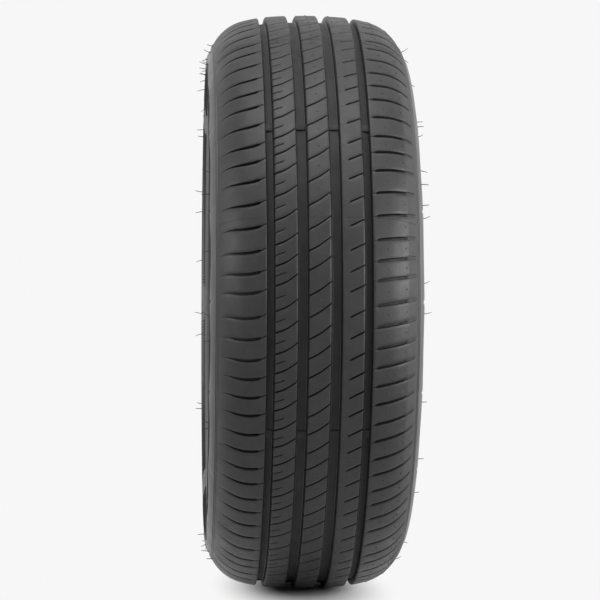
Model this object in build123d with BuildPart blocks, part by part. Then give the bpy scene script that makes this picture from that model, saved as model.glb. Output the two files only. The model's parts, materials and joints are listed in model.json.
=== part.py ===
from build123d import *
import os
from math import asin, cos, degrees, pi, radians, sin, tan

# Passenger car tyre, unmounted and moulded in one piece.
# The spin axis is Y, the wheel centre is the origin and +Z is up.
# Sections are drawn with X as the radius and Y across the tread.

# Outer contour: tangent arcs from the crown down to the bead, each with its end slope
outer_diameter = 643.0
crown_radius = 520.0
crown_slope = 4.3
shoulder_radius = 166.0
shoulder_slope = 15.3
edge_radius = 50.0
edge_slope = 63.0
sidewall_radius = 67.0
sidewall_slope = 90.0
lower_radius = 73.0
lower_slope = 130.0
# Height of the section that the two sidewall radii are given for: both follow a change of it
design_height = 118.7

# The ring is made of straight segments with mitred ends, within 0.7 mm of round
ring_segments = 48
edge_flats = 2

# Raised forms, placed by the slope of the sidewall: a band below the tread and a ridge that guards the rim
band_edge_slope = 79.4
band_step = 1.2
band_height = 1.2
guard_slope = 116.6
guard_spread = 3.6
guard_height = 2.2

# Rim seat and walls
bead_diameter = 405.6
rim_width = 177.8
bead_width = 16.0
bead_toe_height = 3.0
crown_thickness = 9.0
side_thickness = 9.0
lower_thickness = 14.0
liner_crown_width = 124.0

# Ribs and grooves of the tread
tread_depth = 7.5
centre_rib_width = 22.1
inner_groove_width = 11.5
side_rib_width = 22.3
outer_groove_width = 8.6

# Pitch sequence of the tread, read downwards over the front
short_pitch = 19.9
medium_pitch = 21.9
long_pitch = 25.35
pitch_sequence = "LMMLLSMLLLMSLMMSSSMSMSMSMMLLSL"
sequence_repeats = 3
first_pitch_angle = -52.6

# Sipes cross their rib from a low end to a high end, measured up from the pitch line
sipe_width = 1.5
sipe_depth = 6.5
left_sipe_ends = (-0.5, 11.5)
centre_sipe_ends = (15.7, 30.4)

# Slots of the shoulder ribs, deep beside the outer groove and running out at the tread edge
slot_width = 3.2
slot_depth = 6.0
slot_setback = 5.0
slot_end_slope = 55.7
left_slot_height = -7.4
left_slot_slant = 0.0
right_slot_height = 5.6
right_slot_slant = 9.5

# How far a cutter passes the surface that it cuts, and the stock under the beads for the bore cut
overcut = 2.0
bore_stock = 15.0

outer_radius = outer_diameter / 2
bead_radius = bead_diameter / 2
height_ratio = (outer_radius - bead_radius) / design_height
inner_groove_edge = centre_rib_width / 2
side_rib_edge = inner_groove_edge + inner_groove_width
outer_groove_edge = side_rib_edge + side_rib_width
shoulder_rib_edge = outer_groove_edge + outer_groove_width
slot_start = shoulder_rib_edge + slot_setback


def arc_end(start, radius, slope_in, slope_out):
    """End of an arc of the contour that starts at a point and turns from one slope to another."""
    fall = radius * (cos(radians(slope_in)) - cos(radians(slope_out)))
    run = radius * (sin(radians(slope_out)) - sin(radians(slope_in)))
    return (start[0] - fall, start[1] + run)


def arc_flats(start, radius, slope_in, slope_out, count):
    """Ends of the flats that follow an arc of the contour."""
    turn = (slope_out - slope_in) / count
    return [arc_end(start, radius, slope_in, slope_in + turn * (i + 1)) for i in range(count)]


def arc_forms(start, radius, slope_in, forms):
    """Corners along an arc of the contour, each at its slope and raised by its height."""
    corners = []
    for slope, height in forms:
        base = arc_end(start, radius, slope_in, slope)
        corners.append((base[0] + height * cos(radians(slope)), base[1] + height * sin(radians(slope))))
    return corners


side_forms = [(band_edge_slope, band_height), (band_edge_slope + band_step, 0), (sidewall_slope, 0)]
guard_start = guard_slope - guard_spread
guard_forms = [(guard_start, 0), (guard_slope, guard_height), (guard_slope + guard_spread, 0)]
lower_forms = [((sidewall_slope + guard_start) / 2, 0), *guard_forms, (lower_slope, 0)]
crown_end = arc_end((outer_radius, 0), crown_radius, 0, crown_slope)
shoulder_end = arc_end(crown_end, shoulder_radius, crown_slope, shoulder_slope)
edge_points = arc_flats(shoulder_end, edge_radius, shoulder_slope, edge_slope, edge_flats)
side_points = arc_forms(edge_points[-1], sidewall_radius * height_ratio, edge_slope, side_forms)
lower_points = arc_forms(side_points[-1], lower_radius * height_ratio, sidewall_slope, lower_forms)
guard_foot = lower_points[1]
slot_end = arc_end(shoulder_end, edge_radius, shoulder_slope, slot_end_slope)


def contour_radius(across):
    """Radius of the tread and its edge at a distance from the centre plane."""
    arcs = [
        ((outer_radius, 0), crown_radius, 0, crown_end),
        (crown_end, shoulder_radius, crown_slope, shoulder_end),
        (shoulder_end, edge_radius, shoulder_slope, edge_points[-1]),
    ]
    start, radius, slope_in, _ = next(arc for arc in arcs if across <= arc[3][1])
    slope_out = degrees(asin(sin(radians(slope_in)) + (across - start[1]) / radius))
    return arc_end(start, radius, slope_in, slope_out)[0]


def pitch_places(local):
    """Places of a feature, one in each pitch of the tread, from its place at the front."""
    lengths = {"S": short_pitch, "M": medium_pitch, "L": long_pitch}
    pitches = [lengths[letter] for letter in pitch_sequence * sequence_repeats]
    turn = 360 / sum(pitches)
    angles = [first_pitch_angle + turn * sum(pitches[:i]) for i in range(len(pitches))]
    return [Location((0, 0, 0), (0, angle, 0)) * local for angle in angles]


# Section of the moulding, with its radii drawn so that the corners of the ring are on the contour
inner_floor = contour_radius(side_rib_edge) - tread_depth
outer_floor = contour_radius(shoulder_rib_edge) - tread_depth
heel = rim_width / 2
toe = heel - bead_width
heel_fall = (lower_points[-1][1] - heel) * tan(radians(180 - lower_slope))
half_turn = pi / ring_segments
half_section = [
    (outer_radius, 0),
    (outer_radius, inner_groove_edge),
    (inner_floor, inner_groove_edge),
    (inner_floor, side_rib_edge),
    (contour_radius(side_rib_edge), side_rib_edge),
    (contour_radius(outer_groove_edge), outer_groove_edge),
    (outer_floor, outer_groove_edge),
    (outer_floor, shoulder_rib_edge),
    (contour_radius(shoulder_rib_edge), shoulder_rib_edge),
    shoulder_end,
    *edge_points,
    *side_points,
    *lower_points,
    (lower_points[-1][0] - heel_fall, heel),
    (bead_radius - bore_stock, heel),
    (bead_radius - bore_stock, toe),
    (bead_radius + bead_toe_height, toe),
    (guard_foot[0], guard_foot[1] - lower_thickness),
    (side_points[-1][0], side_points[-1][1] - side_thickness),
    (edge_points[-1][0] - side_thickness / 2, edge_points[-1][1] - side_thickness),
    (inner_floor - crown_thickness, liner_crown_width / 2),
    (inner_floor - crown_thickness, 0),
]
with BuildPart() as segment:
    with BuildSketch(Plane.XY):
        with BuildLine():
            Polyline(*[(radius * cos(half_turn), across) for radius, across in half_section], close=True)
        make_face()
        mirror(about=Plane.XZ)
    extrude(amount=outer_radius * tan(half_turn), both=True)
    for side in (1, -1):
        mitre = Plane((0, 0, 0), x_dir=(0, 1, 0), z_dir=(-sin(half_turn), 0, side * cos(half_turn)))
        split(bisect_by=mitre, keep=Keep.BOTTOM)


def blade(low, high, ends):
    """Cutter of a V-shaped sipe that crosses the tread from a low end to a high end."""
    along = Vector(0, high - low, ends[1] - ends[0])
    middle = Vector(outer_radius, (low + high) / 2, sum(ends) / 2)
    tip = contour_radius(max(abs(low), abs(high))) - outer_radius - sipe_depth
    spread = sipe_width / 2 * (overcut - tip) / -tip
    with BuildPart() as cutter:
        with BuildSketch(Plane(middle, x_dir=(1, 0, 0), z_dir=along)):
            with BuildLine():
                Polyline((tip, 0), (overcut, spread), (overcut, -spread), close=True)
            make_face()
        extrude(amount=along.length / 2 + overcut, both=True)
    return cutter.part


def slot(side):
    """Cutter of a shoulder slot, drawn from its start, that runs out at the tread edge."""
    reach = side * (slot_end[1] - slot_start)
    with BuildPart() as cutter:
        with BuildSketch(Plane.XY):
            with BuildLine():
                Polyline(
                    (contour_radius(slot_start) - slot_depth, 0),
                    (slot_end[0], reach),
                    (outer_radius, reach),
                    (outer_radius, 0),
                    close=True,
                )
            make_face()
        extrude(amount=slot_width / 2, both=True)
    return cutter.part


ring_places = [Location((0, 0, 0), (0, degrees(half_turn) * (2 * i + 1), 0)) for i in range(ring_segments)]
left_slot_place = Location((0, -slot_start, left_slot_height), (left_slot_slant, 0, 0))
right_slot_place = Location((0, slot_start, right_slot_height), (right_slot_slant, 0, 0))
with BuildPart() as tyre:
    with Locations(*ring_places):
        add(segment.part)
    Cylinder(bead_radius, rim_width, rotation=(90, 0, 0), mode=Mode.SUBTRACT)
    with Locations(*pitch_places(Location())):
        add(blade(-outer_groove_edge, -side_rib_edge, left_sipe_ends), mode=Mode.SUBTRACT)
        add(blade(-inner_groove_edge, inner_groove_edge, centre_sipe_ends), mode=Mode.SUBTRACT)
    with Locations(*pitch_places(left_slot_place)):
        add(slot(-1), mode=Mode.SUBTRACT)
    with Locations(*pitch_places(right_slot_place)):
        add(slot(1), mode=Mode.SUBTRACT)

os.makedirs("parts", exist_ok=True)
tyre.part.label = "tyre"
export_step(tyre.part, "parts/tyre.step")
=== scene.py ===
import json
from math import cos, radians, sin, tan, tau

import bmesh
import bpy
import numpy as np
from mathutils import Euler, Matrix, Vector


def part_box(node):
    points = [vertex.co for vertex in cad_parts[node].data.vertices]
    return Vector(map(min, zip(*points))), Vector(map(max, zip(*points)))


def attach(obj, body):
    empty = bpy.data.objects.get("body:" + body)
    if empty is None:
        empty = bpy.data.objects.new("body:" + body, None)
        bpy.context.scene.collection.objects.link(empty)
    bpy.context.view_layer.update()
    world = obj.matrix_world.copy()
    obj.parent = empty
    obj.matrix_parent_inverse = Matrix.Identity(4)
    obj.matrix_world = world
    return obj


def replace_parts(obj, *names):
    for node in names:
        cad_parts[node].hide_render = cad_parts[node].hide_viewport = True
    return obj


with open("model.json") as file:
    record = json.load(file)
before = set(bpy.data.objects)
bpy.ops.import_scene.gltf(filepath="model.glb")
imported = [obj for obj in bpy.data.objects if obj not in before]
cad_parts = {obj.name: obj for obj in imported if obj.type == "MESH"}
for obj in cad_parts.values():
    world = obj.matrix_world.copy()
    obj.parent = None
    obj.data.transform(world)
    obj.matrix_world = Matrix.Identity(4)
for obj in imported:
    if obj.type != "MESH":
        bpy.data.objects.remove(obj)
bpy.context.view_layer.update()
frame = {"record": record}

# Lengths are in millimetres and angles in degrees until a mesh is made. The stage is in metres.
# The spin axis is Y and +X faces the camera. Heights go up the front of the tread.
MM = 0.001
rim_seat = frame["record"]["mounts"][0]["dims"]
OUTER_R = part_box("tyre")[1][2] / MM
BEAD_R = rim_seat["r_mm"]
HEEL = rim_seat["length_mm"] / 2

# Section: tangent arcs from the crown to the bead, as (radius, slope at the end)
WIDEST_SLOPE = 90.0
LOWER_SLOPE = 130.0
CONTOUR_ARCS = [(520.0, 4.3), (166.0, 15.3), (50.0, 63.0), (67.0, WIDEST_SLOPE), (73.0, LOWER_SLOPE)]
ARC_STEPS = 24
BEAD_WIDTH = 16.0
TOE_HEIGHT = 3.0
# Rounding of the heel, and the place of its middle point as a share of that
BEAD_ROUND = 1.2
ROUND_MIDDLE = 0.3
# Wall thickness against the distance along the section from the crown
WALL_THICKNESS = [(0, 17.0), (50, 16.5), (85, 14.5), (115, 10.5), (145, 9.0), (172, 13.0), (195, 14.5)]
# The liner follows one in so many points of the section
LINER_STEP = 2

# Widths of the ribs and grooves of the tread, and the places across that follow from them
TREAD_DEPTH = 7.5
CENTRE_RIB = 22.1
INNER_GROOVE = 11.5
SIDE_RIB = 22.3
OUTER_GROOVE = 8.6
TREAD_EDGE = 101.0
RIB_3 = (-CENTRE_RIB / 2, CENTRE_RIB / 2)
RIB_4 = (RIB_3[1] + INNER_GROOVE, RIB_3[1] + INNER_GROOVE + SIDE_RIB)
RIB_2 = (-RIB_4[1], -RIB_4[0])
SHOULDER_EDGE = RIB_4[1] + OUTER_GROOVE
GROOVES = [
    (-SHOULDER_EDGE, RIB_2[0]), (RIB_2[1], RIB_3[0]),
    (RIB_3[1], RIB_4[0]), (RIB_4[1], SHOULDER_EDGE),
]

# Pitch sequence of the tread, read downwards over the front
PITCHES = {"S": 19.9, "M": 21.9, "L": 25.35}
PITCH_SEQUENCE = "LMMLLSMLLLMSLMMSSSMSMSMSMMLLSL"
SEQUENCE_REPEATS = 3
FIRST_PITCH = 52.6


# Curves and the section


def smooth(points, x):
    """Value at x of a smooth curve through a few points."""
    px, py = np.array(points, float).T
    slope = np.gradient(py, px)
    i = np.clip(np.searchsorted(px, x) - 1, 0, len(px) - 2)
    step = px[i + 1] - px[i]
    t = np.clip((x - px[i]) / step, 0, 1)
    start = (2 * t**3 - 3 * t**2 + 1) * py[i] + (t**3 - 2 * t**2 + t) * step * slope[i]
    end = (3 * t**2 - 2 * t**3) * py[i + 1] + (t**3 - t**2) * step * slope[i + 1]
    return start + end


def straight(points, x):
    """Value at x of straight runs through a few points."""
    px, py = np.array(points, float).T
    return np.interp(x, px, py)


def contour():
    """Distance across, radius and slope along the outer section, from the crown to the bead."""
    across, radius, slope = [0.0], [OUTER_R], [0.0]
    for bend, end in CONTOUR_ARCS:
        turn = np.linspace(slope[-1], end, ARC_STEPS + 1)
        across.extend(across[-1] + bend * (np.sin(np.radians(turn)) - sin(radians(turn[0])))[1:])
        radius.extend(radius[-1] + bend * (np.cos(np.radians(turn)) - cos(radians(turn[0])))[1:])
        slope.extend(turn[1:])
    return np.array(across), np.array(radius), np.array(slope)


SECTION_Y, SECTION_R, SECTION_SLOPE = contour()
SECTION_RUN = np.concatenate([[0], np.cumsum(np.hypot(np.diff(SECTION_Y), np.diff(SECTION_R)))])
# Part of the section down to its widest place, where each distance across has one radius
UPPER_PART = SECTION_SLOPE <= WIDEST_SLOPE


def tread_radius(across):
    """Radius of the tread surface at a distance from the centre plane."""
    return np.interp(np.abs(across), SECTION_Y[UPPER_PART], SECTION_R[UPPER_PART])


def tread_slope(across):
    """Slope of the tread surface, in radians, negative on the -Y side."""
    steep = np.interp(np.abs(across), SECTION_Y[UPPER_PART], SECTION_SLOPE[UPPER_PART])
    return np.radians(steep) * np.sign(across)


def side_place(radius, height=0.0):
    """Distance across and radius of a point on the sidewall, lifted off it by a height."""
    steep = np.radians(np.interp(-radius, -SECTION_R, SECTION_SLOPE))
    across = np.interp(-radius, -SECTION_R, SECTION_Y)
    return across + height * np.sin(steep), radius + height * np.cos(steep)


def even_columns(low, high, count):
    """Distances across that are evenly spread along the section between two of them."""
    runs = np.interp(np.abs((low, high)), SECTION_Y[UPPER_PART], SECTION_RUN[UPPER_PART])
    signed = np.linspace(runs[0] * np.sign(low), runs[1] * np.sign(high), count)
    return np.sign(signed) * np.interp(np.abs(signed), SECTION_RUN, SECTION_Y)


def pitch_lines():
    """Height angles of the pitch lines, rising, and the length of the pitch above each."""
    lengths = np.array([PITCHES[letter] for letter in PITCH_SEQUENCE * SEQUENCE_REPEATS])
    turn = 360 / lengths.sum()
    angles = FIRST_PITCH - turn * (np.cumsum(lengths) - lengths)
    above = np.roll(lengths, 1) * turn
    return np.radians(angles[::-1]), np.radians(above[::-1]) * OUTER_R


PITCH_ANGLES, PITCH_LENGTHS = pitch_lines()


# Meshes

# Faces that meet at a smaller angle than this are shaded as one surface
SMOOTH_ANGLE = 35


def turned(angle, across, radius):
    """Points at a height angle in radians, a distance across and a radius."""
    return np.stack(np.broadcast_arrays(radius * np.cos(angle), across, radius * np.sin(angle)), -1)


def ring_faces(rows, columns):
    """Faces of a grid that closes on itself both ways."""
    index = np.arange(rows * columns).reshape(rows, columns)
    right = np.roll(index, -1, 1)
    quads = [index, right, np.roll(right, -1, 0), np.roll(index, -1, 0)]
    return np.stack(quads, -1).reshape(-1, 4).tolist()


def loft(rings):
    """Points and faces of a closed tube through rings of points, with flat ends."""
    rings = np.asarray(rings)
    index = np.arange(rings.shape[0] * rings.shape[1]).reshape(rings.shape[:2])
    right = np.roll(index, -1, 1)
    sides = np.stack([index[:-1], right[:-1], right[1:], index[1:]], -1).reshape(-1, 4)
    return rings.reshape(-1, 3), [*sides.tolist(), index[0].tolist(), index[-1].tolist()]


def joined(parts):
    """Points and faces of several meshes as those of one."""
    points, faces, start = [], [], 0
    for part_points, part_faces in parts:
        points.append(part_points)
        faces.extend([start + i for i in face] for face in part_faces)
        start += len(part_points)
    return np.concatenate(points), faces


def piece(name, points, faces, materials, face_materials=None, smooth_angle=SMOOTH_ANGLE):
    """Piece of the tyre from points in millimetres, with outward normals."""
    mesh = bpy.data.meshes.new(name)
    mesh.from_pydata((np.asarray(points) * MM).tolist(), [], faces)
    for material in materials:
        mesh.materials.append(material)
    if face_materials is not None:
        mesh.polygons.foreach_set("material_index", np.asarray(face_materials, np.int32))
    outward = bmesh.new()
    outward.from_mesh(mesh)
    bmesh.ops.recalc_face_normals(outward, faces=outward.faces)
    outward.to_mesh(mesh)
    outward.free()
    mesh.polygons.foreach_set("use_smooth", np.ones(len(mesh.polygons), bool))
    mesh.set_sharp_from_angle(angle=radians(smooth_angle))
    made = bpy.data.objects.new(name, mesh)
    bpy.context.collection.objects.link(made)
    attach(made, "root")
    return made


# Materials

# Unevenness of the rubber: scale and detail of the noise in its grey, its sheen and its grain
GREY_NOISE = (45, 8)
SHEEN_NOISE = (40, 7)
GRAIN_NOISE = (900, 4)
# How strongly the finest octaves show, and the stretch of the noise that fills the whole range
MOTTLE = 0.75
NOISE_SPAN = (0.3, 0.7)
# How far the roughness varies, how high the grain is, and the faint blue cast of the two greys
SHEEN_SPREAD = 0.1
GRAIN_HEIGHT = 0.4
DARK_CAST = 1.02
LIGHT_CAST = 1.01


def rubber(name, dark, light, roughness, grain, gloss=0.5):
    """Moulded rubber: uneven greys, patches of mould release, and a fine grain."""
    material = bpy.data.materials.new(name)
    material.use_nodes = True
    nodes, links = material.node_tree.nodes, material.node_tree.links
    shader = nodes["Principled BSDF"]
    shader.inputs["Specular IOR Level"].default_value = gloss
    place = nodes.new("ShaderNodeTexCoord").outputs["Object"]

    def noise(form, low, high):
        """Noise over the piece that runs between two values."""
        texture = nodes.new("ShaderNodeTexNoise")
        texture.inputs["Scale"].default_value, texture.inputs["Detail"].default_value = form
        texture.inputs["Roughness"].default_value = MOTTLE
        links.new(place, texture.inputs["Vector"])
        spread = nodes.new("ShaderNodeMapRange")
        spread.inputs["From Min"].default_value, spread.inputs["From Max"].default_value = NOISE_SPAN
        spread.inputs["To Min"].default_value = low
        spread.inputs["To Max"].default_value = high
        links.new(texture.outputs["Fac"], spread.inputs["Value"])
        return spread.outputs["Result"]

    ramp = nodes.new("ShaderNodeMix")
    ramp.data_type = "RGBA"
    ramp.inputs["A"].default_value = (dark, dark, dark * DARK_CAST, 1)
    ramp.inputs["B"].default_value = (light, light, light * LIGHT_CAST, 1)
    links.new(noise(GREY_NOISE, 0, 1), ramp.inputs["Factor"])
    links.new(ramp.outputs["Result"], shader.inputs["Base Color"])
    sheen = noise(SHEEN_NOISE, roughness - SHEEN_SPREAD, roughness + SHEEN_SPREAD)
    links.new(sheen, shader.inputs["Roughness"])
    bump = nodes.new("ShaderNodeBump")
    bump.inputs["Strength"].default_value = grain
    bump.inputs["Distance"].default_value = GRAIN_HEIGHT * MM
    links.new(noise(GRAIN_NOISE, 0, 1), bump.inputs["Height"])
    links.new(bump.outputs["Normal"], shader.inputs["Normal"])
    return material


TREAD_RUBBER = rubber("tread_rubber", dark=0.012, light=0.026, roughness=0.43, grain=0.30, gloss=0.38)
SHOULDER_RUBBER = rubber("shoulder_rubber", dark=0.024, light=0.038, roughness=0.66, grain=0.50)
GROOVE_RUBBER = rubber("groove_rubber", dark=0.015, light=0.021, roughness=0.60, grain=0.20, gloss=0.30)
SIDEWALL_RUBBER = rubber("sidewall_rubber", dark=0.038, light=0.050, roughness=0.45, grain=0.15)
# Painted highlight: the band's grey is far lighter than the sidewall's, standing in for the light its smooth
# face reflects
BAND_HIGHLIGHT_RUBBER = rubber("band_rubber", dark=0.068, light=0.088, roughness=0.38, grain=0.10)
# Painted shade: a darker, less glossy grey for the fine radial ribs and the left sidewall's zone below its
# band, where their shade falls
SERRATED_SHADE_RUBBER = rubber("serrated_rubber", dark=0.018, light=0.026, roughness=0.60, grain=0.10, gloss=0.15)
LINER_RUBBER = rubber("liner_rubber", dark=0.034, light=0.046, roughness=0.42, grain=0.15)
# Painted shade: a darker grey for the inside of the cuts, where shade falls; the mould lines take it too
CUT_SHADE_AND_LINE_RUBBER = rubber("cut_rubber", dark=0.008, light=0.012, roughness=0.65, grain=0.10)
VENT_RUBBER = rubber("vent_rubber", dark=0.012, light=0.018, roughness=0.55, grain=0.10)


# Ribs of the tread

# Lip of a cut: distance outside its wall and depth, in full where the cut is this deep or deeper
LIP = [(0.0, 0.55), (0.16, 0.16), (0.5, 0.0)]
FULL_LIP_DEPTH = 1.0
# How far the wall of a cut leans in towards its floor
CUT_WALL = 0.12
# Depth from which the rubber inside a cut is dull and painted darker, as painted shade in the cut
SHADE_DEPTH = 0.4
# Edge of a rib beside a groove: distance outside the rib and depth, from below the groove floor up
WALL_DRAFT = 0.9
EDGE_ROUND = 1.1
EDGE = [
    (WALL_DRAFT + 1.5, TREAD_DEPTH + 1.2),
    (WALL_DRAFT + 1.3, TREAD_DEPTH - 0.02),
    (WALL_DRAFT + 0.35, TREAD_DEPTH - 0.35),
    (WALL_DRAFT * 0.9, TREAD_DEPTH - 1.3),
    (0.0, 0.9),
    (-0.5, 0.28),
    (-EDGE_ROUND, 0.0),
]
# Outer end of a shoulder rib, where it goes under the sidewall
TUCK = [(0.0, 0.6), (0.0, 5.0)]
# Distance across at which the smooth blocks of the right shoulder give way to a duller edge
BLOCK_EDGE = 90.4
# Surfaces of a rib, in the order of its materials; the inside of a cut is painted shade
TREAD, CUT_SHADE, SHOULDER = range(3)
RIB_MATERIALS = [TREAD_RUBBER, CUT_SHADE_AND_LINE_RUBBER, SHOULDER_RUBBER]

# Cuts: line up from the pitch line, width and depth, each against the distance across.
# A second cut of a rib also has its share of the way to the next pitch.
LEFT_SLOT = {
    "line": [
        (-TREAD_EDGE, -8.5), (-92.0, -7.1), (-82.0, -7.7), (-72.0, -7.8),
        (-62.0, -6.2), (-58.5, -5.2), (-SHOULDER_EDGE, -2.8),
    ],
    "width": [
        (-99.0, 0.3), (-92.0, 1.0), (-84.0, 2.4), (-74.0, 3.2),
        (-61.0, 3.2), (-59.0, 0.9), (-SHOULDER_EDGE, 0.8),
    ],
    "depth": [
        (-99.5, 0.0), (-92.0, 0.9), (-84.0, 3.2), (-74.0, 5.5),
        (-61.0, 6.0), (-59.0, 3.0), (-SHOULDER_EDGE, 3.0),
    ],
}
LEFT_SIPE = {
    "line": [(RIB_2[0], 0.0), (-33.9, 4.3), (RIB_2[1], 12.3)],
    "width": [(RIB_2[0], 1.9), (RIB_2[1], 1.3)],
    "depth": [(RIB_2[0], 6.0), (RIB_2[1], 5.0)],
}
LEFT_FINE_SIPE = {
    "share": 0.5,
    "line": [(RIB_2[0], -0.2), (-35.0, 3.6), (RIB_2[1], 11.0)],
    "width": [(RIB_2[0], 0.9), (-36.0, 0.8), (-34.5, 0.3), (RIB_2[1], 0.3)],
    "depth": [(RIB_2[0], 3.0), (-36.0, 3.0), (-34.5, 0.0), (RIB_2[1], 0.0)],
}
CENTRE_SIPE = {
    "line": [(RIB_3[0], 15.7), (0.0, 21.9), (RIB_3[1], 30.4)],
    "width": [(RIB_3[0], 1.8), (RIB_3[1], 1.5)],
    "depth": [(RIB_3[0], 6.0), (RIB_3[1], 6.0)],
}
RIGHT_SIPE = {
    "line": [(RIB_4[0], -9.0), (30.4, -5.5), (RIB_4[1], 1.7)],
    "width": [(RIB_4[0], 0.3), (29.6, 0.4), (30.6, 1.8), (RIB_4[1], 1.9)],
    "depth": [(RIB_4[0], 0.0), (29.9, 0.0), (30.7, 5.0), (RIB_4[1], 6.0)],
}
RIGHT_SLOT = {
    "line": [(SHOULDER_EDGE, 4.5), (58.0, 5.6), (72.0, 7.9), (88.0, 10.6), (TREAD_EDGE, 14.0)],
    "width": [
        (SHOULDER_EDGE, 0.5), (57.0, 0.6), (58.4, 3.3), (88.0, 3.3),
        (90.0, 4.0), (98.0, 4.0), (99.5, 2.4),
    ],
    "depth": [
        (SHOULDER_EDGE, 1.0), (57.0, 1.2), (58.4, 6.0), (82.0, 5.0),
        (88.5, 3.0), (90.0, 1.1), (98.4, 0.9), (99.4, 0.0),
    ],
}
# Ribs from left to right, with their mesh: columns across, and rows in each plain stretch between cuts
RIBS = {
    "rib_1": {"span": (-SHOULDER_EDGE, -TREAD_EDGE), "cuts": [LEFT_SLOT], "columns": 34, "rest": 5},
    "rib_2": {"span": RIB_2, "cuts": [LEFT_SIPE, LEFT_FINE_SIPE], "columns": 14, "rest": 3},
    "rib_3": {"span": RIB_3, "cuts": [CENTRE_SIPE], "columns": 14, "rest": 5},
    "rib_4": {"span": RIB_4, "cuts": [RIGHT_SIPE], "columns": 22, "rest": 5},
    "rib_5": {"span": (SHOULDER_EDGE, TREAD_EDGE), "cuts": [RIGHT_SLOT], "columns": 34, "rest": 5},
}


def cut_rows(cut, across):
    """Rows from the middle of a cut out over its lip: distance along the tread and depth."""
    half = straight(cut["width"], across) / 2
    depth = np.maximum(straight(cut["depth"], across), 0)
    lip_share = np.clip(depth / FULL_LIP_DEPTH, 0, 1)
    offsets = [0 * half, np.maximum(half - CUT_WALL, half / 2)]
    depths = [depth, depth]
    for outside, fall in LIP:
        offsets.append(half + outside)
        depths.append(fall * lip_share)
    return np.array(offsets), np.array(depths)


def rib_rows(across, cuts, rest):
    """Rows of every pitch of a rib: angle and depth at each distance across."""
    lengths = PITCH_LENGTHS[:, None]
    main = cuts[0]
    line = smooth(main["line"], across)
    offsets, depths = cut_rows(main, across)
    rows = [(offset + 0 * lengths, depth) for offset, depth in zip(offsets, depths)]
    groups = []
    for cut in cuts[1:]:
        middle = cut["share"] * lengths + smooth(cut["line"], across) - line
        side_offsets, side_depths = cut_rows(cut, across)
        lower = [(middle - o, d) for o, d in zip(side_offsets[:0:-1], side_depths[:0:-1])]
        upper = [(middle + o, d) for o, d in zip(side_offsets, side_depths)]
        groups.append(lower + upper)
    groups.append([(lengths - o, d) for o, d in zip(offsets[:0:-1], depths[:0:-1])])
    for group in groups:
        last, first = rows[-1][0], group[0][0]
        for share in np.arange(1, rest + 1) / (rest + 1):
            rows.append((last + (first - last) * share, 0 * across))
        rows.extend(group)
    angle = [PITCH_ANGLES[:, None] + (line + offset) / OUTER_R for offset, depth in rows]
    depth = [np.broadcast_to(depth, (len(PITCH_ANGLES), len(across))) for offset, depth in rows]
    shape = (-1, len(across))
    return np.stack(angle, 1).reshape(shape), np.stack(depth, 1).reshape(shape)


def rib(name, span, cuts, columns, rest):
    """Rib of the tread between two distances across, with its cuts repeated in each pitch."""
    inner, outer = span
    side = np.sign(outer - inner)
    shoulder = abs(outer) == TREAD_EDGE
    edge = np.array(EDGE)
    far_edge = np.array(TUCK) if shoulder else edge[::-1]
    last = outer if shoulder else outer - side * EDGE_ROUND
    base = even_columns(inner + side * EDGE_ROUND, last, columns)[1 : None if shoulder else -1]
    across = np.concatenate([inner - side * edge[:, 0], base, outer + side * far_edge[:, 0]])
    wall = np.concatenate([edge[:, 1], 0 * base, far_edge[:, 1]])
    anchor = np.clip(across, min(span), max(span))
    tilt = tread_slope(anchor)
    tilt[: len(edge)] = 0
    if not shoulder:
        tilt[-len(edge) :] = 0
    angle, cut_depth = rib_rows(anchor, cuts, rest)
    depth = np.maximum(cut_depth, wall)
    points = turned(angle, across - depth * np.sin(tilt), tread_radius(anchor) - depth * np.cos(tilt))
    corners = [np.roll(cut_depth, (-i, -j), (0, 1)) for i in (0, 1) for j in (0, 1)]
    # Faces deep inside a cut get the painted shade material
    inside = np.min(corners, 0) > SHADE_DEPTH
    surface = np.where(inside, CUT_SHADE, np.where(across > BLOCK_EDGE, SHOULDER, TREAD)).ravel()
    return piece(name, points.reshape(-1, 3), ring_faces(*angle.shape), RIB_MATERIALS, surface)


for name, form in RIBS.items():
    rib(name, **form)


# Carcass: groove floors, sidewalls, beads and liner

CARCASS_TURNS = 288
# Rings moulded on the sidewall: radius, half width and height
SIDE_RINGS = [
    (288.6, 0.8, 0.8), (285.8, 0.8, 0.8), (263.0, 1.4, 0.8),
    (226.0, 4.5, 2.2), (217.0, 0.7, 0.5), (214.0, 0.7, 0.5),
]
# Section of a ring, as shares of its half width and height
RING_SHAPE = [(-1.0, 0.0), (-0.55, 0.8), (0.0, 1.0), (0.55, 0.8), (1.0, 0.0)]
SIDE_STEP = 3.5
# Zone of the left sidewall below its raised band, painted darker as painted shade on that side
DULL_SHADE_RADII = (254.0, 274.0)
# Surfaces of the carcass, in the order of its materials, the last being the left sidewall's painted shade
GROOVE, SIDEWALL, LINER, DULL_SHADE = range(4)
CARCASS_MATERIALS = [GROOVE_RUBBER, SIDEWALL_RUBBER, LINER_RUBBER, SERRATED_SHADE_RUBBER]


def sidewall_profile():
    """Distance across and radius down the +Y sidewall, with its rings."""
    top = float(tread_radius(TREAD_EDGE))
    plain = np.arange(top, SECTION_R[-1], -SIDE_STEP)
    clear = [r for r in plain if all(abs(r - ring) > half for ring, half, rise in SIDE_RINGS)]
    spots = [(r, 0.0) for r in [*clear, SECTION_R[-1]]]
    spots += [(ring + half * u, rise * v) for ring, half, rise in SIDE_RINGS for u, v in RING_SHAPE]
    radius, height = np.array(sorted(spots, reverse=True)).T
    return side_place(radius, height)


def liner_profile():
    """Distance across and radius of the inside, from above the bead to the crown."""
    thickness = smooth(WALL_THICKNESS, SECTION_RUN)
    steep = np.radians(SECTION_SLOPE)
    across = SECTION_Y - thickness * np.sin(steep)
    radius = SECTION_R - thickness * np.cos(steep)
    return across[::-LINER_STEP], radius[::-LINER_STEP]


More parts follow.
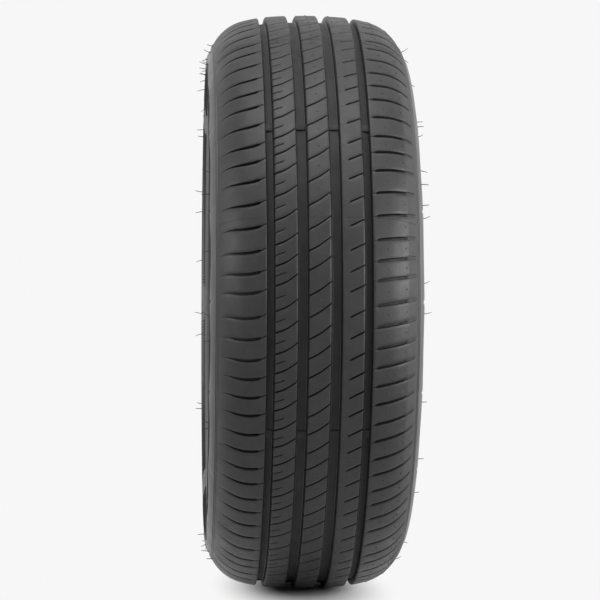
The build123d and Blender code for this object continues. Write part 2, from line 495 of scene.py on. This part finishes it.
def carcass():
    """Body of revolution under the ribs."""
    floor_y = np.array([y for groove in GROOVES for y in groove])
    floor_r = tread_radius(floor_y) - TREAD_DEPTH
    side_y, side_r = sidewall_profile()
    liner_y, liner_r = liner_profile()
    heel_r = SECTION_R[-1] - (SECTION_Y[-1] - HEEL) * tan(radians(180 - LOWER_SLOPE))
    toe = HEEL - BEAD_WIDTH
    middle = BEAD_ROUND * ROUND_MIDDLE
    bead_y = [HEEL, HEEL - middle, HEEL - BEAD_ROUND, toe + BEAD_ROUND, toe]
    bead_r = [heel_r, BEAD_R + middle, BEAD_R, BEAD_R, BEAD_R + TOE_HEIGHT]
    right_y = np.concatenate([side_y, bead_y, liner_y])
    right_r = np.concatenate([side_r, bead_r, liner_r])
    across = np.concatenate([floor_y, right_y, -right_y[-2::-1]])
    radius = np.concatenate([floor_r, right_r, right_r[-2::-1]])
    angle = np.linspace(0, tau, CARCASS_TURNS, endpoint=False)[:, None]
    points = turned(angle, across[None, :], radius[None, :]).reshape(-1, 3)
    surface = np.full(len(across), SIDEWALL)
    surface[: len(floor_y) - 1] = GROOVE
    inside = len(floor_y) + len(side_y) + len(bead_y) - 1
    surface[inside : inside + 2 * len(liner_y) - 1] = LINER
    # Painted shade: the left sidewall's zone below its band takes the darker serrated rubber
    low, high = DULL_SHADE_RADII
    surface[(surface == SIDEWALL) & (across < 0) & (low < radius) & (radius < high)] = DULL_SHADE
    faces = ring_faces(CARCASS_TURNS, len(across))
    return piece("carcass", points, faces, CARCASS_MATERIALS, np.tile(surface, CARCASS_TURNS))


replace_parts(carcass(), "tyre")


# Relief of the sidewalls

# Fine radial ribs, in spans with plain stretches between them: radii of their ring, sunk at its two edges
SERRATION_RADII = [238.4, 239.4, 259.6, 260.6]
SERRATION_SUNK = [True, False, False, True]
SERRATION_RISE = 1.1
SERRATION_ROOT = 0.6
SERRATIONS = 420
SERRATION_SMOOTH_ANGLE = 20
# Number of spans, the share of each that has ribs, and how fast the ribs rise at its ends
SERRATION_SPANS = 6
SERRATION_SHARE = 0.86
SPAN_RAMP = 60
# Band below the tread edge: its scallops, the radii of its lower edge, and the notched share of a scallop
SCALLOPS = 18
SCALLOP_STEPS = 48
SCALLOP_EDGE = (268.0, 273.5)
SCALLOP_NOTCH = 0.05
BAND_TOP = 284.2
# Section of the band: share of the way down from its top, and height
BAND_SECTION = [
    (0.0, -0.6), (0.1, 0.1), (0.45, 1.2), (0.7, 1.75),
    (0.83, 1.75), (0.93, 1.3), (0.98, 0.5), (1.0, -0.6),
]


def sidewall_name(name, side):
    """Name of a piece of one sidewall."""
    return name + ("_left" if side < 0 else "_right")


def serrated_band(side):
    """Ring of fine radial ribs on a sidewall, in rubber painted darker as their shade."""
    steps = np.arange(2 * SERRATIONS)
    span = (steps * SERRATION_SPANS / len(steps)) % 1
    ribbed = np.clip((SERRATION_SHARE / 2 - np.abs(span - 0.5)) * SPAN_RAMP, 0, 1)
    rise = SERRATION_RISE * (steps % 2) * ribbed
    height = np.where(SERRATION_SUNK, -SERRATION_ROOT, rise[:, None])
    across, radius = side_place(np.array(SERRATION_RADII) + 0 * height, height)
    angle = steps[:, None] * tau / len(steps)
    points = turned(angle, side * across, radius).reshape(-1, 3)
    faces = ring_faces(len(steps), len(SERRATION_RADII))
    name = sidewall_name("serrated_band", side)
    return piece(name, points, faces, [SERRATED_SHADE_RUBBER], smooth_angle=SERRATION_SMOOTH_ANGLE)


def shoulder_band(side):
    """Raised band below the tread edge, with a notch where two scallops meet, in a lighter grey that paints
    its highlight.
    """
    steps = np.arange(SCALLOPS * SCALLOP_STEPS)
    along = np.abs((steps % SCALLOP_STEPS) / SCALLOP_STEPS * 2 - 1)[:, None]
    low, high = SCALLOP_EDGE
    edge = low + (high - low) * np.cos(along * tau / 4)
    way, height = np.array(BAND_SECTION).T
    notch = np.clip((1 - along) / SCALLOP_NOTCH, 0, 1)
    height = np.where(height > 0, height * (1 - way * (1 - notch)), height)
    across, radius = side_place(BAND_TOP + (edge - BAND_TOP) * way, height)
    angle = steps[:, None] * tau / len(steps)
    points = turned(angle, side * across, radius).reshape(-1, 3)
    faces = ring_faces(len(steps), len(way))
    return piece(sidewall_name("shoulder_band", side), points, faces, [BAND_HIGHLIGHT_RUBBER])


for side in (-1, 1):
    serrated_band(side)
    shoulder_band(side)


# Wear bars and trimmed vents

WEAR_BARS = 6
FIRST_WEAR_BAR = 34.7
# Section of a bar: distance along the groove and height above its floor
WEAR_BAR_SECTION = [(-4.8, -0.6), (-4.2, 1.35), (-3.6, 1.6), (3.6, 1.6), (4.2, 1.35), (4.8, -0.6)]
WEAR_BAR_TUCK = 1.0
# Trimmed vents: cut that they follow, share of the pitch up from it, and distance across
NUB_PLACES = [
    (CENTRE_SIPE, 0.5, 0.0), (RIGHT_SIPE, 0.0, 25.5),
    (RIGHT_SLOT, 0.5, 88.0), (RIGHT_SLOT, 0.5, 69.5),
]
# Rings of a trimmed vent: radius and height
NUB_RINGS = [(1.0, -0.5), (0.95, 0.3), (0.6, 0.5)]
NUB_SIDES = 8


def wear_bars():
    """Low bars across the groove floors, level with the worn tread."""
    along, height = np.array(WEAR_BAR_SECTION).T
    parts = []
    for inner, outer in GROOVES:
        ends = np.array([inner - WEAR_BAR_TUCK, outer + WEAR_BAR_TUCK])[:, None]
        floor = tread_radius((inner + outer) / 2) - TREAD_DEPTH
        for i in range(WEAR_BARS):
            angle = radians(FIRST_WEAR_BAR + i * 360 / WEAR_BARS) + along / OUTER_R
            parts.append(loft(turned(angle[None, :], ends, (floor + height)[None, :])))
    return piece("wear_bars", *joined(parts), [GROOVE_RUBBER])


def vent_nubs():
    """Stubs of trimmed vents, one at each place in every pitch."""
    turn = np.arange(NUB_SIDES) * tau / NUB_SIDES
    parts = []
    for cut, share, across in NUB_PLACES:
        tilt = float(tread_slope(across))
        rise = float(smooth(cut["line"], across))
        for start, length in zip(PITCH_ANGLES, PITCH_LENGTHS):
            angle = start + (rise + share * length) / OUTER_R
            rings = []
            for size, height in NUB_RINGS:
                aside, along = size * np.cos(turn), size * np.sin(turn)
                radius = tread_radius(across) + height * cos(tilt) - aside * sin(tilt)
                place = across + height * sin(tilt) + aside * cos(tilt)
                rings.append(turned(angle + along / OUTER_R, place, radius))
            parts.append(loft(rings))
    return piece("vent_nubs", *joined(parts), [VENT_RUBBER])


wear_bars()
vent_nubs()


# Mould lines

MOULD_LINES = 8
FIRST_MOULD_LINE = 15.4
# Section of a line: distance along the tread and height
MOULD_LINE_SECTION = [(-0.45, -0.3), (0.0, 0.25), (0.45, -0.3)]
MOULD_LINE_STEP = 0.8


def cut_depth_at(cuts, angle, across):
    """Depth of the cuts of a rib at one height angle, at each distance across."""
    depth = 0 * across
    for cut in cuts:
        rise = cut.get("share", 0) * PITCH_LENGTHS[:, None] + smooth(cut["line"], across)
        turn = angle - PITCH_ANGLES[:, None] - rise / OUTER_R
        gap = np.abs((turn + tau / 2) % tau - tau / 2).min(0) * OUTER_R
        reach = straight(cut["width"], across) / 2 + LIP[-1][0]
        depth = np.maximum(depth, np.where(gap < reach, straight(cut["depth"], across), 0))
    return depth


def mould_lines():
    """Fine lines across the ribs where the segments of the mould met."""
    along, height = np.array(MOULD_LINE_SECTION).T
    parts = []
    for i in range(MOULD_LINES):
        angle = radians(FIRST_MOULD_LINE + i * 360 / MOULD_LINES)
        for form in RIBS.values():
            low, high = sorted(form["span"])
            across = np.arange(low + EDGE_ROUND, high - EDGE_ROUND, MOULD_LINE_STEP)
            tilt = tread_slope(across)[:, None]
            lift = height - cut_depth_at(form["cuts"], angle, across)[:, None]
            radius = tread_radius(across)[:, None] + lift * np.cos(tilt)
            place = across[:, None] + lift * np.sin(tilt)
            parts.append(loft(turned(angle + along / OUTER_R, place, radius)))
    # The lines share the darker rubber that paints shade inside the cuts
    return piece("mould_lines", *joined(parts), [CUT_SHADE_AND_LINE_RUBBER])


mould_lines()


# Vent hairs

# Heights of the hairs that stand out at each side of the front
LEFT_HAIRS = [282, 275, 268, 262, 255, 247, 206, 198, 134, 111, 51, -15, -40, -125, -131, -268, -276, -284]
RIGHT_HAIRS = [277, 270, 237, 191, 185, 174, 137, 122, 100, 86, 19, -12, -103, -164, -203, -266, -285]
# Radii of the sidewall between which they stand, and how far a root lies above the height that it shows at
HAIR_RADII = (262.0, 293.0)
HAIR_CLEARANCE = 6.0
HAIR_LENGTH = 8.5
HAIR_ROOT = 1.5
# Radii from the root to the tip
HAIR_SIZES = [0.5, 0.45, 0.38, 0.3]
HAIR_SIDES = 6
# How far hairs differ: slope to each side, bend, and shares of the length
HAIR_LEAN = 0.25
HAIR_BEND = 0.05
HAIR_LENGTH_SHARES = (0.75, 1.1)
HAIR_SEED = 7


def vent_hairs():
    """Untrimmed vent hairs on both sidewalls, front and back."""
    draw = np.random.default_rng(HAIR_SEED)
    turn = np.arange(HAIR_SIDES) * tau / HAIR_SIDES
    parts = []
    for side, heights in ((-1, LEFT_HAIRS), (1, RIGHT_HAIRS)):
        for facing in (1, -1):
            for level in heights:
                root = np.clip(abs(level) + HAIR_CLEARANCE, *HAIR_RADII)
                angle = np.arcsin(level / root)
                angle = angle if facing > 0 else tau / 2 - angle
                lean = draw.uniform(-HAIR_LEAN, HAIR_LEAN, 2)
                bend = draw.uniform(-HAIR_BEND, HAIR_BEND, 2)
                length = HAIR_LENGTH * draw.uniform(*HAIR_LENGTH_SHARES)
                across, radius = side_place(np.array(root))
                rings = []
                for size, way in zip(HAIR_SIZES, np.linspace(-HAIR_ROOT, length, len(HAIR_SIZES))):
                    up = radius + lean[0] * way + bend[0] * way**2 + size * np.cos(turn)
                    along = lean[1] * way + bend[1] * way**2 + size * np.sin(turn)
                    rings.append(turned(angle + along / root, side * (across + way), up))
                parts.append(loft(rings))
    return piece("vent_hairs", *joined(parts), [VENT_RUBBER])


vent_hairs()


# Stage, light and camera, with lengths in metres

FLOOR_HALF = 20.0
FLOOR_COLOUR = (0.6, 0.6, 0.6, 1)
FLOOR_ROUGHNESS = 0.8
FLOOR_GLOSS = 0.1
WHITE = (0.93, 0.93, 0.93, 1)
# Distances from the tyre's foot over which the lit floor gives way to plain white, and their stretch by axis
FADE_NEAR = 0.08
FADE_FAR = 0.32
FADE_SHAPE = (1.0, 3.0, 0.0)
# Studio surround: its strength behind the tyre and on the camera's side, and where one gives way to the other
LIGHT_COLOUR = (1, 1, 1, 1)
BACK_LIGHT = 0.9
FRONT_LIGHT = 0.05
SURROUND_SPAN = (-0.5, 0.7)
LAMPS = {
    "top_light": {"place": (0.85, 0.0, 2.2), "size": (1.8, 2.0), "power": 38},
    "right_light": {"place": (0.85, 1.75, 0.34), "size": (1.5, 0.8), "power": 37},
    "left_light": {"place": (0.67, -1.8, 0.58), "size": (0.8, 0.8), "power": 11},
}
# Camera: its place, its turn away from the wheel centre, and the lens and sensor in millimetres
CAMERA_PLACE = (2.6815, -0.1555, 0.0)
CAMERA_TURN = (0.045, 0.049, 0.19)
LENS = 142.4
SENSOR = 36.0


def white_when_seen(tree, shaded, share=None):
    """Shader that is plain white when seen or mirrored, or as far as a share says, and else shaded."""
    nodes, links = tree.nodes, tree.links
    white = nodes.new("ShaderNodeEmission")
    white.inputs["Color"].default_value = WHITE
    path = nodes.new("ShaderNodeLightPath")
    mix = nodes.new("ShaderNodeMixShader")

    def combined(operation, first, second):
        """Value worked out from two others."""
        both = nodes.new("ShaderNodeMath")
        both.operation = operation
        links.new(first, both.inputs[0])
        links.new(second, both.inputs[1])
        return both.outputs["Value"]

    factor = path.outputs["Is Camera Ray"]
    for ray in ("Is Glossy Ray", "Is Transmission Ray"):
        factor = combined("MAXIMUM", factor, path.outputs[ray])
    if share is not None:
        factor = combined("MULTIPLY", factor, share)
    links.new(factor, mix.inputs["Fac"])
    links.new(shaded, mix.inputs[1])
    links.new(white.outputs["Emission"], mix.inputs[2])
    return mix.outputs["Shader"]


def floor_material():
    """Pale floor that takes the tyre's shadow and fades to plain white away from it."""
    material = bpy.data.materials.new("floor")
    material.use_nodes = True
    tree = material.node_tree
    nodes, links = tree.nodes, tree.links
    shader = nodes["Principled BSDF"]
    shader.inputs["Base Color"].default_value = FLOOR_COLOUR
    shader.inputs["Roughness"].default_value = FLOOR_ROUGHNESS
    shader.inputs["Specular IOR Level"].default_value = FLOOR_GLOSS
    place = nodes.new("ShaderNodeVectorMath")
    place.operation = "MULTIPLY"
    place.inputs[1].default_value = FADE_SHAPE
    links.new(nodes.new("ShaderNodeTexCoord").outputs["Object"], place.inputs[0])
    away = nodes.new("ShaderNodeVectorMath")
    away.operation = "LENGTH"
    links.new(place.outputs["Vector"], away.inputs[0])
    fade = nodes.new("ShaderNodeMapRange")
    fade.interpolation_type = "SMOOTHSTEP"
    fade.inputs["From Min"].default_value = FADE_NEAR
    fade.inputs["From Max"].default_value = FADE_FAR
    links.new(away.outputs["Value"], fade.inputs["Value"])
    shown = white_when_seen(tree, shader.outputs["BSDF"], fade.outputs["Result"])
    links.new(shown, nodes["Material Output"].inputs["Surface"])
    return material


def stage_floor():
    """Level floor that the tyre stands on."""
    mesh = bpy.data.meshes.new("floor")
    corners = [(-1, -1), (1, -1), (1, 1), (-1, 1)]
    mesh.from_pydata([(x * FLOOR_HALF, y * FLOOR_HALF, 0) for x, y in corners], [], [(0, 1, 2, 3)])
    mesh.materials.append(floor_material())
    floor = bpy.data.objects.new("floor", mesh)
    floor.location.z = -OUTER_R * MM
    bpy.context.collection.objects.link(floor)


def studio_world():
    """Soft studio surround, lighter behind the tyre, that the camera sees as white."""
    world = bpy.data.worlds.new("studio")
    bpy.context.scene.world = world
    world.use_nodes = True
    nodes, links = world.node_tree.nodes, world.node_tree.links
    surround = nodes["Background"]
    surround.inputs["Color"].default_value = LIGHT_COLOUR
    split = nodes.new("ShaderNodeSeparateXYZ")
    links.new(nodes.new("ShaderNodeTexCoord").outputs["Generated"], split.inputs["Vector"])
    spread = nodes.new("ShaderNodeMapRange")
    spread.interpolation_type = "SMOOTHSTEP"
    spread.inputs["From Min"].default_value, spread.inputs["From Max"].default_value = SURROUND_SPAN
    spread.inputs["To Min"].default_value = BACK_LIGHT
    spread.inputs["To Max"].default_value = FRONT_LIGHT
    links.new(split.outputs["X"], spread.inputs["Value"])
    links.new(spread.outputs["Result"], surround.inputs["Strength"])
    shown = white_when_seen(world.node_tree, surround.outputs["Background"])
    links.new(shown, nodes["World Output"].inputs["Surface"])


def lamp(name, place, size, power):
    """Soft rectangular lamp aimed at the wheel centre."""
    light = bpy.data.lights.new(name, "AREA")
    light.shape = "RECTANGLE"
    light.size, light.size_y = size
    light.energy = power
    holder = bpy.data.objects.new(name, light)
    holder.location = place
    holder.rotation_euler = (-Vector(place)).to_track_quat("-Z", "Y").to_euler()
    bpy.context.collection.objects.link(holder)


def studio_camera():
    """Camera at the photograph's viewing angle."""
    optics = bpy.data.cameras.new("camera")
    optics.lens = LENS
    optics.sensor_width = SENSOR
    camera = bpy.data.objects.new("camera", optics)
    camera.location = CAMERA_PLACE
    look = (-Vector(CAMERA_PLACE)).to_track_quat("-Z", "Y")
    turn = Euler([radians(angle) for angle in CAMERA_TURN]).to_quaternion()
    camera.rotation_euler = (look @ turn).to_euler()
    bpy.context.collection.objects.link(camera)
    bpy.context.scene.camera = camera


stage_floor()
studio_world()
for name, form in LAMPS.items():
    lamp(name, **form)
studio_camera()
bpy.context.scene.view_settings.view_transform = "Standard"
